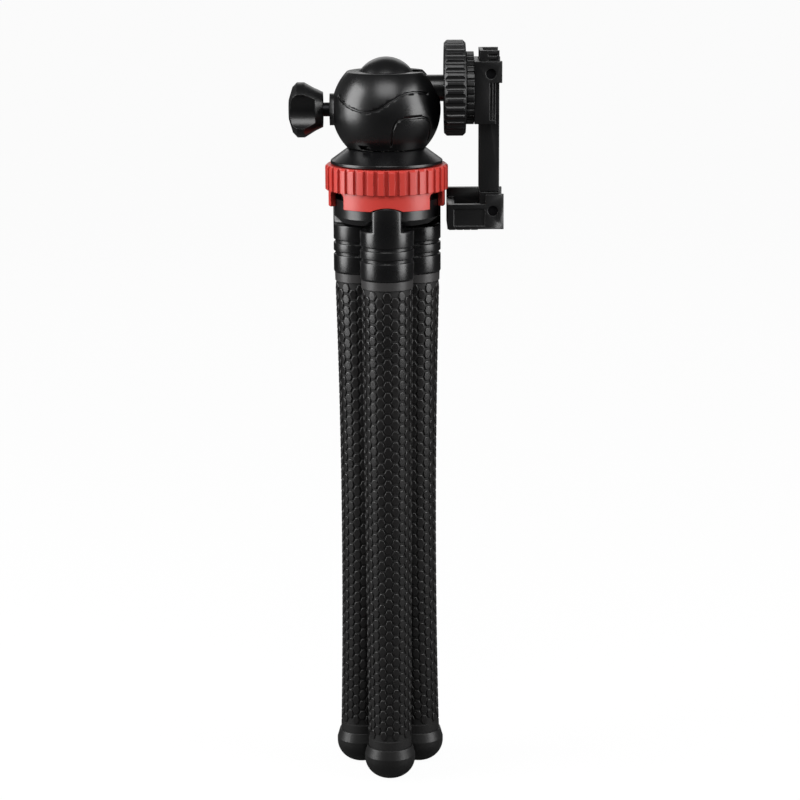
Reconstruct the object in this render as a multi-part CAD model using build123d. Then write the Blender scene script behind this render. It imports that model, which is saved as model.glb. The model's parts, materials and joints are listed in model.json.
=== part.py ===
from build123d import *
import math
import os

# Flexible leg tripod with a ball head and a folding phone clamp, legs together.
# Millimetres, +Z up. The origin is on the floor, on the axis of the hub.
# The front leg stands towards -Y, and the clamp hangs on the +X side.

# Feet, flexible legs and leg caps
leg_count = 3
foot_height = 12.3
foot_radius = 9.4
foot_pad_radius = 3.2
foot_bevel_height = 3.4
foot_dome_height = 7.6
foot_collar_radius = 8.4
sleeve_length = 176.7
sleeve_top_radius = 9.35
sleeve_bottom_radius = 7.95
core_radius = 2.5
core_grip_in_cap = 9.0
core_grip_in_foot = 7.0
cap_height = 18.0
cap_radius = 9.7
cap_edge_round = 0.7
cap_groove_heights = (6.9, 11.1)
cap_groove_width = 0.9
cap_groove_depth = 0.5
neck_width = 10.7
cap_gap = 0.35
sleeve_gap = 0.9
foot_gap = 0.5

# Bends of each leg: places of their centres along the sleeve, from its lower end
bend_shares = (0.87, 0.56, 0.235)
bend_ball_radius = 12.8
bend_gap = 0.15

# Hub under the head
hub_radius = 19.0
hub_waist_radius = 17.2
hub_gap_above_caps = 1.6
hub_bowl_height = 8.6
hub_waist_height = 3.6
hub_crown_height = 8.4
hub_bowl_round = 2.2
pocket_clearance = 0.15
leg_screw_radius = 1.5
leg_screw_head_radius = 2.7
leg_screw_head_height = 1.9
leg_screw_length = 11.0
leg_screw_inset = 2.6

# Ribbed ring round the hub
ring_fit = 0.1
ring_skirt_radius = 21.1
ring_root_radius = 21.4
ring_rib_radius = 22.2
ring_skirt_height = 5.9
ring_rib_height = 8.8
ring_rib_count = 36
ring_rib_share = 0.56
ring_top_round = 0.7
ring_arch_half_width = 5.7
ring_arch_rise = 1.35
ring_notch_half_angle = 13.0
ring_notch_height = 5.6
ring_notch_round = 1.6
neck_under_arch = 0.25

# Flange that the head turns on
flange_radius = 20.2
flange_edge_height = 1.2
flange_cone_height = 4.4
flange_top_radius = 14.2
flange_gap = 0.2
flange_edge_round = 0.4
stud_radius = 3.175
stud_depth_in_hub = 7.0
stud_rise_in_head = 6.6
stud_fit = 0.05
washer_radius = 9.0
washer_thickness = 0.4

# Ball head
housing_radius = 19.6
housing_bottom_drop = 13.4
housing_top_rise = 13.7
housing_edge_round = 0.5
ball_radius = 11.3
ball_rise = 7.5
ball_fit = 0.15
mouth_radius = 9.8
stem_radius = 4.75
stem_reach = 20.6
stem_slot_fit = 0.25
seat_radius = 12.8
seat_fit = 0.1
seat_drop = 13.2

# Lock knob with its screw and the pad that it presses
knob_drop = 0.0
boss_radius = 5.7
boss_face = 20.3
knob_inner_face = 22.7
knob_flange_radius = 6.3
knob_waist_radius = 7.6
knob_waist_face = 25.4
knob_lobe_radius = 10.0
knob_lobe_face = 29.3
knob_lobe_land = 2.6
knob_shoulder_radius = 8.2
knob_shoulder_face = 33.6
knob_outer_face = 35.0
knob_lobe_count = 3
knob_valley_radius = 8.0
knob_valley_centre = 13.2
knob_cap_radius = 3.6
knob_cap_depth = 1.0
knob_screw_radius = 2.5
knob_screw_fit = 0.05
knob_screw_gap = 0.1
knob_screw_socket = 5.0
pad_radius = 3.4
pad_fit = 0.1
pad_length = 3.3
pad_travel = 0.8

# Locking wheel on the camera stud
camera_stud_sink = 8.0
wheel_radius = 17.1
wheel_width = 7.7
wheel_gap = 0.15
wheel_chamfer = 1.0
wheel_groove_count = 34
wheel_groove_radius = 1.15
wheel_groove_offset = 0.35
wheel_nut_radius = 6.2
wheel_nut_width = 5.4
wheel_dish_radius = 11.5
wheel_dish_depth = 0.8
thread_fit = 0.05

# Phone clamp: disc, body, bar and cover
disc_radius = 13.0
disc_thickness = 2.6
disc_gap = 0.3
disc_notch_count = 30
disc_notch_radius = 0.6
body_width = 22.0
body_height = 22.2
body_below_stud = 11.9
body_back = 2.0
body_cheek_reach = 5.6
collar_height = 7.6
collar_reach = 9.9
bar_width = 16.0
bar_depth = 7.0
bar_wall = 1.6
bar_web = 1.4
bar_top_rise = 13.9
bar_length = 50.2
bar_fit = 0.1
cover_thickness = 1.4
cover_length = 22.0
insert_radius = 5.0
jaw_pin_radius = 1.8
jaw_pin_shank_radius = 1.3
jaw_pin_recess = 1.2
jaw_pin_fit = 0.05
upper_pin_from_bar = 3.9
upper_pin_drop = 4.4

# Folding upper jaw
upper_jaw_width = 12.0
upper_jaw_length = 19.0
upper_jaw_thickness = 2.2
upper_knuckle_radius = 2.3
jaw_side_gap = 0.4
upper_pad_thickness = 0.9
upper_pad_inset = 1.1

# Sliding tongue and folding lower jaw
tongue_width = 11.8
tongue_thickness = 1.5
tongue_top_gap = 1.9
tongue_gap = 0.3
tongue_foot_height = 10.5
spring_radius = 1.1
spring_length = 17.0
spring_end_gap = 0.5
lower_pin_from_bar = 4.7
lower_pin_drop = 6.7
lower_jaw_width = 22.0
lower_jaw_left = 21.75
lower_jaw_right = 41.9
lower_jaw_floor = 2.2
lower_jaw_height = 12.5
lower_jaw_lip_height = 9.0
lower_jaw_wall = 2.6
lower_jaw_cheek = 6.5
lower_jaw_below_pin = 6.6
lower_jaw_round = 0.8
rib_count = 4
rib_height = 0.6
rib_width = 2.4
overrun = 1.0

# Levels worked out from the sizes above
sleeve_end = foot_height + bend_gap
cap_bottom = sleeve_end + sleeve_length
bend_heights = tuple(sleeve_end + share * sleeve_length for share in bend_shares)
shoulder = cap_bottom + cap_height
legs_apart = 2 * math.sin(math.pi / leg_count)
leg_radius_top = (2 * cap_radius + cap_gap) / legs_apart
leg_radius_middle = (sleeve_top_radius + sleeve_bottom_radius + sleeve_gap) / legs_apart
# A foot that swings sideways passes its neighbour at this share of the feet's distance from the middle
feet_pass = 1 - math.cos(2 * math.pi / leg_count)
leg_radius_foot = (2 * foot_radius + foot_gap) / feet_pass
hub_bottom = shoulder + hub_gap_above_caps
hub_waist = hub_bottom + hub_bowl_height
hub_crown = hub_waist + hub_waist_height
hub_top = hub_crown + hub_crown_height
ring_bottom = hub_top - ring_rib_height - ring_skirt_height
ring_step = hub_top - ring_rib_height
flange_bottom = hub_top + flange_gap
flange_top = flange_bottom + flange_edge_height + flange_cone_height
housing_bottom = flange_top + washer_thickness
housing_centre = housing_bottom + housing_bottom_drop
housing_top = housing_centre + housing_top_rise
ball_centre = housing_centre + ball_rise
knob_axis = housing_centre - knob_drop
wheel_face = stem_reach + wheel_gap
disc_face = wheel_face + wheel_width + disc_gap
body_face = disc_face + disc_thickness
bar_face = body_face + body_back
bar_front = bar_face + bar_depth
bar_top = ball_centre + bar_top_rise
bar_bottom = bar_top - bar_length
body_bottom = ball_centre - body_below_stud
body_top = body_bottom + body_height
upper_pin_x = bar_face + upper_pin_from_bar
upper_pin_z = body_top - upper_pin_drop
lower_pin_x = bar_face + lower_pin_from_bar
lower_pin_z = bar_bottom - lower_pin_drop
inner_web = bar_face + bar_web
pad_inner_face = seat_radius + seat_fit


def along_x(radius, start, end, z, y=0):
    """A round bar parallel to X between two places."""
    middle = (start + end) / 2
    return Pos(middle, y, z) * Rot(0, 90, 0) * Cylinder(radius, abs(end - start))


def along_y(radius, start, end, x, z):
    """A round bar parallel to Y between two places."""
    middle = (start + end) / 2
    return Pos(x, middle, z) * Rot(90, 0, 0) * Cylinder(radius, abs(end - start))


def upright(radius, bottom, top, x=0, y=0):
    """A round bar parallel to Z between two heights."""
    return Pos(x, y, (bottom + top) / 2) * Cylinder(radius, top - bottom)


def block(x0, x1, y0, y1, z0, z1):
    """A box given by its faces."""
    return Pos((x0 + x1) / 2, (y0 + y1) / 2, (z0 + z1) / 2) * Box(x1 - x0, y1 - y0, z1 - z0)


def turned(points):
    """A solid turned about Z from an outline of (radius, height) points."""
    outline = Polyline(*[(r, 0, z) for r, z in points], close=True)
    return revolve(make_face(outline), Axis.Z)


def turned_x(points):
    """A solid turned about X from an outline of (place along X, radius) points."""
    outline = Polyline(*[(x, r, 0) for x, r in points], close=True)
    return revolve(make_face(outline), Axis.X)


def leg_place(height):
    """Distance of the leg's centre line from the hub's axis at a height."""
    along = (cap_bottom - height) / cap_bottom
    middle = (leg_radius_top + leg_radius_foot) / 2 - leg_radius_middle
    straight = leg_radius_top + (leg_radius_foot - leg_radius_top) * along
    return straight - 4 * middle * along * (1 - along)


def leg_point(height):
    """A point of the front leg's centre line."""
    return Vector(0, -leg_place(height), height)


def sleeve_radius(height):
    """Outer radius of the rubber sleeve at a height."""
    along = (cap_bottom - height) / sleeve_length
    return sleeve_top_radius + (sleeve_bottom_radius - sleeve_top_radius) * along


def leg_stretch(top, bottom, radius):
    """A round straight stretch of the front leg between two points."""
    run = top - bottom
    plane = Plane(origin=(top + bottom) * 0.5, x_dir=(1, 0, 0), z_dir=run)
    return plane * Cylinder(radius, run.length)


def stretch_ends(number):
    """Ends of a stretch of leg, on its centre line."""
    heights = (cap_bottom,) + bend_heights + (foot_height,)
    return leg_point(heights[number]), leg_point(heights[number + 1])


def ball_point(radius, reach, centre):
    """Point of a bend's ball at a distance from the leg's line, in the stretch's own frame."""
    return (reach, 0, centre - math.sqrt(radius ** 2 - reach ** 2))


def ball_face(radius, inner, outer, centre):
    """Outline of a bend's round joint face between two distances from the leg's line."""
    middle = ball_point(radius, (inner + outer) / 2, centre)
    return ThreePointArc(ball_point(radius, inner, centre), middle, ball_point(radius, outer, centre))


def segment(number, inner, outer, above, below):
    """One stretch of sleeve or core turned about its own line: round end below, hollow above."""
    top, bottom = stretch_ends(number)
    run = top - bottom
    hollow = bend_ball_radius + bend_gap
    if number == 0:
        start = run.length + above
        upper = Line((inner, 0, start), (outer(top.Z), 0, start))
    else:
        upper = ball_face(hollow, inner, outer(top.Z - bend_ball_radius), run.length)
    if number == len(bend_heights):
        lower = Line((inner, 0, -below), (outer(bottom.Z), 0, -below))
    else:
        lower = ball_face(bend_ball_radius, inner, outer(bottom.Z - bend_ball_radius), 0)
    outline = upper + lower + Line(upper @ 0, lower @ 0) + Line(upper @ 1, lower @ 1)
    plane = Plane(origin=bottom, x_dir=(1, 0, 0), z_dir=run)
    return plane * revolve(make_face(outline), Axis.Z)


def keep_largest(shape):
    """The largest solid of a shape."""
    return max(shape.solids(), key=lambda solid: solid.volume)


def leg_sleeve(number):
    """Rubber sleeve stretch round its core, cut level at the cap and at the foot."""
    size = 2 * cap_radius
    body = segment(number, core_radius, sleeve_radius, overrun, overrun)
    if number == 0:
        body -= block(-size, size, -2 * size, size, cap_bottom, cap_bottom + 2 * overrun)
    if number == len(bend_heights):
        body -= block(-size, size, -2 * size, size, foot_height - 2 * overrun, foot_height)
    return keep_largest(body)


def core_hole(number):
    """The straight hole that a stretch of core lies in."""
    top, bottom = stretch_ends(number)
    down = (bottom - top).normalized()
    reach = core_grip_in_foot if number == len(bend_heights) else 2 * bend_ball_radius
    return leg_stretch(top - down * core_grip_in_cap, bottom + down * reach, core_radius)


def leg_core(number):
    """Soft aluminium wire inside a sleeve stretch, gripped in the cap and the foot."""
    return segment(number, 0, lambda height: core_radius, core_grip_in_cap, core_grip_in_foot)


def leg_foot():
    """Domed rubber foot with a flared band, flat where it meets the floor."""
    centre = leg_point(foot_height)
    edge = (foot_radius, foot_dome_height)
    dome = TangentArc(edge, (foot_pad_radius, 0), tangent=(0, -1))
    sides = Polyline(
        (foot_pad_radius, 0), (0, 0), (0, foot_height), (foot_collar_radius, foot_height),
        (foot_radius, foot_height - foot_bevel_height), edge,
    )
    body = revolve(Plane.XZ * make_face(dome + sides), Axis.Z)
    return Pos(0, centre.Y, 0) * body - core_hole(len(bend_heights))


def cap_neck(clearance, top):
    """The flat-sided neck of a leg cap, or the pocket for it."""
    half = neck_width / 2 + clearance
    slab = block(-half, half, -cap_radius - clearance, cap_radius + clearance, shoulder - overrun, top)
    return slab & upright(cap_radius + clearance, shoulder - 2 * overrun, top + overrun)


def arch_cutter(shrink, depth):
    """Round bar across the ring's wall that makes the arch over a neck."""
    radius = (ring_arch_half_width ** 2 + ring_arch_rise ** 2) / (2 * ring_arch_rise)
    height = ring_bottom + ring_arch_rise - radius
    return along_y(radius - shrink, -depth, 0, 0, height)


def leg_cap():
    """Moulded cap that grips the sleeve, with its neck up into the hub."""
    body = upright(cap_radius, cap_bottom, shoulder)
    body = fillet(body.edges().filter_by(GeomType.CIRCLE), cap_edge_round)
    for height in cap_groove_heights:
        level = cap_bottom + height
        cut = upright(cap_radius + overrun, level, level + cap_groove_width)
        cut -= upright(cap_radius - cap_groove_depth, level - overrun, level + overrun + cap_groove_width)
        body -= cut
    neck = cap_neck(0, ring_bottom + ring_arch_rise)
    body = Pos(0, -leg_radius_top, 0) * (body + neck)
    cut = arch_cutter(neck_under_arch, 2 * ring_rib_radius)
    below = block(-cap_radius, cap_radius, -2 * ring_rib_radius, ring_rib_radius, cap_bottom - overrun, shoulder)
    body = body & (cut + below)
    screw = upright(leg_screw_radius, screw_seat() - leg_screw_length, hub_top, 0, -leg_screw_place())
    return keep_largest(body - core_hole(0) - screw)


def leg_screw_place():
    """Distance of a leg's screw from the hub's axis."""
    return leg_radius_top - leg_screw_inset


def pocket(turn):
    """Pocket of the hub for one leg's neck."""
    top = ring_bottom + ring_arch_rise + pocket_clearance
    return Rot(0, 0, turn) * Pos(0, -leg_radius_top, 0) * cap_neck(pocket_clearance, top)


def leg_turns():
    """Angles of the legs about the hub's axis."""
    return [360 / leg_count * number for number in range(leg_count)]


def hub_body():
    """Hub that holds the three necks, with a waist behind the ring's notches."""
    body = turned([
        (0, hub_bottom), (hub_radius - hub_bowl_round, hub_bottom), (hub_radius, hub_bottom + hub_bowl_round),
        (hub_radius, hub_waist), (hub_waist_radius, hub_waist), (hub_waist_radius, hub_crown),
        (hub_radius, hub_crown), (hub_radius, hub_top), (0, hub_top),
    ])
    for turn in leg_turns():
        body -= pocket(turn)
        place = Rot(0, 0, turn) * Pos(0, -leg_screw_place(), 0)
        body -= place * upright(leg_screw_radius, hub_bottom, hub_top + overrun)
        body -= place * upright(leg_screw_head_radius + pocket_clearance, screw_seat(), hub_top + overrun)
    body -= upright(stud_radius, hub_top - stud_depth_in_hub, hub_top + overrun)
    return keep_largest(body)


def screw_seat():
    """Level of the seats of the leg screws' heads."""
    return ring_bottom + leg_screw_length - ring_skirt_height


def leg_screws():
    """Three pan head screws that pull the necks up into the hub."""
    screws = []
    for turn in leg_turns():
        shank = upright(leg_screw_radius, screw_seat() - leg_screw_length, screw_seat())
        head = upright(leg_screw_head_radius, screw_seat(), screw_seat() + leg_screw_head_height)
        screws.append(Rot(0, 0, turn) * Pos(0, -leg_screw_place(), 0) * (shank + head))
    return Compound(children=screws)


def ribbed_ring():
    """Ring with 36 grip ribs above a skirt with arches and notches."""
    inner = hub_radius + ring_fit
    body = turned([
        (inner, ring_bottom), (ring_skirt_radius, ring_bottom), (ring_skirt_radius, ring_step),
        (ring_root_radius, ring_step), (ring_root_radius, hub_top), (inner, hub_top),
    ])
    pitch = 360 / ring_rib_count
    chord = 2 * ring_rib_radius * math.sin(math.radians(pitch * ring_rib_share / 2))
    rib = block(0, ring_rib_radius + overrun, -chord / 2, chord / 2, ring_step, hub_top)
    ring = upright(ring_rib_radius, ring_step, hub_top) - upright(inner, ring_step - overrun, hub_top + overrun)
    ring = chamfer(ring.edges().group_by(Axis.Z)[-1].sort_by(SortBy.LENGTH)[-1:], ring_top_round)
    ribs = [Rot(0, 0, pitch * (number + 0.5)) * rib for number in range(ring_rib_count)]
    body += ring & Compound(children=ribs)
    half = ring_notch_half_angle
    for turn in leg_turns():
        body -= Rot(0, 0, turn) * arch_cutter(0, 2 * ring_rib_radius)
        width = 2 * ring_skirt_radius * math.sin(math.radians(half))
        notch = block(-width / 2, width / 2, 0, 2 * ring_rib_radius, ring_bottom - overrun, ring_bottom + ring_notch_height)
        notch = fillet(notch.edges().filter_by(Axis.Y).group_by(Axis.Z)[-1], ring_notch_round)
        body -= Rot(0, 0, turn) * notch
    return keep_largest(body)


def hub_flange():
    """Conical flange on the hub that the head turns on."""
    body = turned([
        (0, flange_bottom), (flange_radius, flange_bottom), (flange_radius, flange_bottom + flange_edge_height),
        (flange_top_radius, flange_top), (0, flange_top),
    ])
    body = fillet(body.edges().filter_by(GeomType.CIRCLE).group_by(SortBy.RADIUS)[-1], flange_edge_round)
    return body - upright(stud_radius, flange_bottom - overrun, flange_top + overrun)


def head_stud():
    """Stud in the hub that the head is screwed on and pans about."""
    return upright(stud_radius, hub_top - stud_depth_in_hub, housing_bottom + stud_rise_in_head)


def pan_washer():
    """Thin washer between the flange and the head."""
    ring = upright(washer_radius, flange_top, housing_bottom)
    return ring - upright(stud_radius + stud_fit, flange_top - overrun, housing_bottom + overrun)


def stem_slot(radius, start, reach, top):
    """Slot for the stem, open at the top, from a place along X outwards."""
    floor = along_x(radius, start, reach, ball_centre)
    return floor + block(start, reach, -radius, radius, ball_centre, top)


def head_housing():
    """Round head housing with its mouth, side slot, seat bore and knob boss."""
    body = Pos(0, 0, housing_centre) * Sphere(housing_radius)
    size = 2 * housing_radius
    body = body & block(-size, size, -size, size, housing_bottom, housing_top)
    body = fillet(body.edges().filter_by(GeomType.CIRCLE), housing_edge_round)
    body += along_x(boss_radius, -boss_face, -seat_radius - pad_length, knob_axis)
    body -= Pos(0, 0, ball_centre) * Sphere(ball_radius + ball_fit)
    body -= upright(mouth_radius, ball_centre, housing_top + overrun)
    body -= upright(seat_radius + seat_fit, ball_centre - seat_drop, ball_centre)
    body -= stem_slot(stem_radius + stem_slot_fit, 0, size, housing_top + overrun)
    body -= upright(stud_radius + stud_fit, housing_bottom - overrun, housing_bottom + stud_rise_in_head + stem_slot_fit)
    body -= along_x(pad_radius + pad_fit, -pad_back() - pad_travel - pad_fit, 0, knob_axis)
    body -= along_x(knob_screw_radius + knob_screw_fit, -boss_face - overrun, 0, knob_axis)
    return keep_largest(body)


def ball_seat():
    """Cup under the ball that the pad squeezes."""
    cup = upright(seat_radius, ball_centre - seat_drop + seat_fit, ball_centre)
    cup -= Pos(0, 0, ball_centre) * Sphere(ball_radius + ball_fit)
    cup -= stem_slot(stem_radius + stem_slot_fit, 0, 2 * seat_radius, ball_centre + overrun)
    return keep_largest(cup)


def pad_back():
    """Distance of the pad's outer face from the head's axis."""
    return pad_inner_face + pad_length


def brake_pad():
    """Pad that the knob's screw presses on the seat."""
    return along_x(pad_radius, -pad_back(), -pad_inner_face, knob_axis)


def lock_knob():
    """Three-lobed knob, with two lobes towards the front."""
    body = turned_x([
        (-knob_inner_face, 0), (-knob_inner_face, knob_flange_radius), (-knob_waist_face, knob_waist_radius),
        (-knob_lobe_face, knob_lobe_radius), (-knob_lobe_face - knob_lobe_land, knob_lobe_radius),
        (-knob_shoulder_face, knob_shoulder_radius), (-knob_outer_face, knob_cap_radius), (-knob_outer_face, 0),
    ])
    for number in range(knob_lobe_count):
        turn = 360 / knob_lobe_count * number
        cut = along_x(knob_valley_radius, -knob_outer_face - overrun, -knob_waist_face, 0, -knob_valley_centre)
        body -= Rot(turn, 0, 0) * cut
    body -= along_x(knob_cap_radius, -knob_outer_face - overrun, -knob_outer_face + knob_cap_depth, 0)
    body -= along_x(knob_screw_radius, -knob_inner_face - knob_screw_socket, 0, 0)
    return Pos(0, 0, knob_axis) * keep_largest(body)


def knob_cap():
    """Round cap in the knob's outer face."""
    return along_x(knob_cap_radius, -knob_outer_face, -knob_outer_face + knob_cap_depth, knob_axis)


def knob_screw():
    """Screw moulded into the knob."""
    return along_x(knob_screw_radius, -knob_inner_face - knob_screw_socket, -pad_back() - knob_screw_gap, knob_axis)


def ball_stem():
    """Ball and its stem, in one piece, bored for the camera stud."""
    body = Pos(0, 0, ball_centre) * Sphere(ball_radius)
    body += along_x(stem_radius, 0, stem_reach, ball_centre)
    return body - along_x(stud_radius, stem_reach - camera_stud_sink, stem_reach + overrun, ball_centre)


def camera_stud():
    """Quarter inch stud that carries the wheel and the clamp."""
    return along_x(stud_radius, stem_reach - camera_stud_sink, bar_face - jaw_side_gap, ball_centre)


def lock_wheel():
    """Scalloped wheel that locks the clamp on its stud."""
    end = wheel_face + wheel_width
    body = along_x(wheel_radius, wheel_face, end, 0)
    body = chamfer(body.edges().filter_by(GeomType.CIRCLE), wheel_chamfer)
    groove = along_x(wheel_groove_radius, wheel_face - overrun, end + overrun, wheel_radius + wheel_groove_offset)
    for number in range(wheel_groove_count):
        body -= Rot(360 / wheel_groove_count * number, 0, 0) * groove
    for start in (wheel_face - overrun, end - wheel_dish_depth):
        dish = along_x(wheel_dish_radius, start, start + overrun + wheel_dish_depth, 0)
        dish -= along_x(wheel_nut_radius + overrun, start, start + overrun + wheel_dish_depth, 0)
        body -= dish
    body -= along_x(wheel_nut_radius, end - wheel_nut_width, end + overrun, 0)
    body -= along_x(stud_radius + thread_fit, wheel_face - overrun, end, 0)
    return Pos(0, 0, ball_centre) * body


def wheel_nut():
    """Threaded metal nut moulded into the wheel."""
    end = wheel_face + wheel_width
    body = along_x(wheel_nut_radius, end - wheel_nut_width, end, ball_centre)
    return body - along_x(stud_radius + thread_fit, wheel_face, end + overrun, ball_centre)


def clamp_disc():
    """Notched disc between the wheel and the clamp's body."""
    body = along_x(disc_radius, disc_face, body_face, 0)
    notch = along_x(disc_notch_radius, disc_face - overrun, body_face + overrun, disc_radius)
    for number in range(disc_notch_count):
        body -= Rot(360 / disc_notch_count * number, 0, 0) * notch
    return Pos(0, 0, ball_centre) * (body - along_x(insert_radius, disc_face - overrun, body_face + overrun, 0))


def thread_insert():
    """Threaded insert that the camera stud screws into."""
    body = along_x(insert_radius, disc_face, bar_face, ball_centre)
    return body - along_x(stud_radius + thread_fit, disc_face - overrun, bar_face + overrun, ball_centre)


def jaw_pin_hole(x, z, half_width):
    """Hole through everything that a jaw pin crosses."""
    return along_y(jaw_pin_radius, -half_width - overrun, half_width + overrun, x, z)


def clamp_body():
    """Body with two cheeks and a collar that hold the bar."""
    half = body_width / 2
    gap = bar_width / 2 + bar_fit
    body = block(body_face, bar_face - bar_fit, -half, half, body_bottom, body_top)
    for side in (-1, 1):
        y0, y1 = sorted((side * gap, side * half))
        body += block(body_face, body_face + body_back + body_cheek_reach, y0, y1, body_bottom, body_top)
        body += block(body_face, body_face + collar_reach, y0, y1, body_top - collar_height, body_top)
    body -= along_x(insert_radius, body_face - overrun, bar_face, ball_centre)
    return body - jaw_pin_hole(upper_pin_x, upper_pin_z, half)


def clamp_bar():
    """Channel bar, open towards +X, that the tongue slides in."""
    half = bar_width / 2
    body = block(bar_face, bar_front, -half, half, bar_bottom, bar_top)
    body -= block(inner_web, bar_front + overrun, -half + bar_wall, half - bar_wall, bar_bottom - overrun, bar_top + overrun)
    body -= jaw_pin_hole(upper_pin_x, upper_pin_z, half)
    return body


def bar_cover():
    """Cover over the lower part of the bar's channel."""
    half = bar_width / 2 - bar_wall
    return block(bar_front - cover_thickness, bar_front, -half, half, bar_bottom, bar_bottom + cover_length)


def jaw_pin(x, z, half_width, shank_half):
    """Stepped pin whose ends lie a little inside the holes."""
    end = half_width - jaw_pin_recess
    pin = along_y(jaw_pin_shank_radius, -end, end, x, z)
    for side in (-1, 1):
        pin += along_y(jaw_pin_radius, side * shank_half, side * end, x, z)
    return pin


def upper_jaw_pin():
    """Pin that the upper jaw folds on."""
    return jaw_pin(upper_pin_x, upper_pin_z, body_width / 2, bar_width / 2 - bar_wall)


def upper_jaw():
    """Jaw that folds down into the bar's channel."""
    half = upper_jaw_width / 2
    front = bar_front - jaw_side_gap
    body = along_y(upper_knuckle_radius, -half, half, upper_pin_x, upper_pin_z)
    body += block(front - upper_jaw_thickness, front, -half, half, upper_pin_z - upper_jaw_length, upper_pin_z)
    return body - along_y(jaw_pin_shank_radius + jaw_pin_fit, -half, half, upper_pin_x, upper_pin_z)


def upper_jaw_pad():
    """Rubber pad on the gripping face of the upper jaw."""
    half = upper_jaw_width / 2 - upper_pad_inset
    face = bar_front - jaw_side_gap - upper_jaw_thickness
    top = upper_pin_z - upper_knuckle_radius - upper_pad_inset
    return block(face - upper_pad_thickness, face, -half, half, upper_pin_z - upper_jaw_length, top)


def slide_tongue():
    """Tongue in the bar's channel, with the foot that carries the lower jaw."""
    half = tongue_width / 2
    face = inner_web + tongue_gap
    foot_half = bar_width / 2
    foot_top = bar_bottom - tongue_gap
    foot_bottom = foot_top - tongue_foot_height
    foot = block(bar_face, bar_front, -foot_half, foot_half, foot_bottom, foot_top)
    foot = fillet(foot.edges().filter_by(Axis.Y).group_by(Axis.Z)[0], lower_jaw_round)
    root = (foot_bottom + foot_top) / 2
    top = upper_pin_z - upper_knuckle_radius - tongue_top_gap
    tongue = block(face, face + tongue_thickness, -half, half, root, top)
    return keep_largest(foot + tongue - jaw_pin_hole(lower_pin_x, lower_pin_z, foot_half))


def clamp_spring():
    """Return spring of the jaw, a plain tube in the closed channel."""
    x = (inner_web + tongue_gap + tongue_thickness + bar_front - cover_thickness) / 2
    bottom = bar_bottom + spring_end_gap
    return upright(spring_radius, bottom, bottom + spring_length, x)


def lower_jaw_pin():
    """Pin that the lower jaw folds on."""
    return jaw_pin(lower_pin_x, lower_pin_z, lower_jaw_width / 2, bar_width / 2 - bar_wall)


def lower_jaw():
    """Tray-shaped lower jaw, folded towards the hub, ribbed face down."""
    half = lower_jaw_width / 2
    floor = lower_pin_z - lower_jaw_below_pin
    inner = half - lower_jaw_wall
    body = block(lower_jaw_left, lower_jaw_right, -half, half, floor, floor + lower_jaw_floor)
    body += block(lower_jaw_left, lower_jaw_right, -half, -inner, floor, floor + lower_jaw_lip_height)
    body += block(lower_jaw_left, lower_jaw_right, inner, half, floor, floor + lower_jaw_height)
    cheek = lower_jaw_right - lower_jaw_cheek
    body += block(cheek, lower_jaw_right, -half, -inner, floor, floor + lower_jaw_height)
    body += block(lower_jaw_left, lower_jaw_left + lower_jaw_wall, -half, half, floor, floor + lower_jaw_lip_height)
    swing = bar_face - jaw_side_gap
    body -= block(swing, lower_jaw_right + overrun, -inner, inner, floor - overrun, floor + lower_jaw_height)
    body -= along_y(jaw_pin_radius + jaw_pin_fit, -half - overrun, half + overrun, lower_pin_x, lower_pin_z)
    return keep_largest(body)


def lower_jaw_pad():
    """Ribbed rubber pad under the lower jaw."""
    half = lower_jaw_width / 2 - lower_jaw_wall
    floor = lower_pin_z - lower_jaw_below_pin
    start = lower_jaw_left + rib_height
    pitch = (bar_face - jaw_side_gap - start) / rib_count
    ribs = []
    for number in range(rib_count):
        x = start + pitch * number
        ribs.append(block(x, x + rib_width, -half, half, floor - rib_height, floor))
    return Compound(children=ribs)


os.makedirs("parts", exist_ok=True)
nodes = {
    "hub_body": hub_body(), "ribbed_ring": ribbed_ring(), "hub_flange": hub_flange(),
    "leg_screws": leg_screws(), "head_stud": head_stud(), "pan_washer": pan_washer(),
    "head_housing": head_housing(), "ball_seat": ball_seat(), "brake_pad": brake_pad(),
    "lock_knob": lock_knob(), "knob_cap": knob_cap(), "knob_screw": knob_screw(),
    "ball_stem": ball_stem(), "camera_stud": camera_stud(), "lock_wheel": lock_wheel(),
    "wheel_nut": wheel_nut(), "clamp_disc": clamp_disc(), "thread_insert": thread_insert(),
    "clamp_body": clamp_body(), "clamp_bar": clamp_bar(), "bar_cover": bar_cover(),
    "upper_jaw_pin": upper_jaw_pin(), "upper_jaw": upper_jaw(), "upper_jaw_pad": upper_jaw_pad(),
    "slide_tongue": slide_tongue(), "clamp_spring": clamp_spring(), "lower_jaw_pin": lower_jaw_pin(),
    "lower_jaw": lower_jaw(), "lower_jaw_pad": lower_jaw_pad(),
}
leg_pieces = {"cap": leg_cap(), "foot": leg_foot()}
for number in range(len(bend_heights) + 1):
    leg_pieces[f"sleeve_{number + 1}"] = leg_sleeve(number)
    leg_pieces[f"core_{number + 1}"] = leg_core(number)
for number, turn in enumerate(leg_turns()):
    for name, piece in leg_pieces.items():
        nodes[f"leg_{number + 1}_{name}"] = Rot(0, 0, turn) * piece
for name, shape in nodes.items():
    export_step(shape, f"parts/{name}.step")
print(len(nodes), "nodes")
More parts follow.
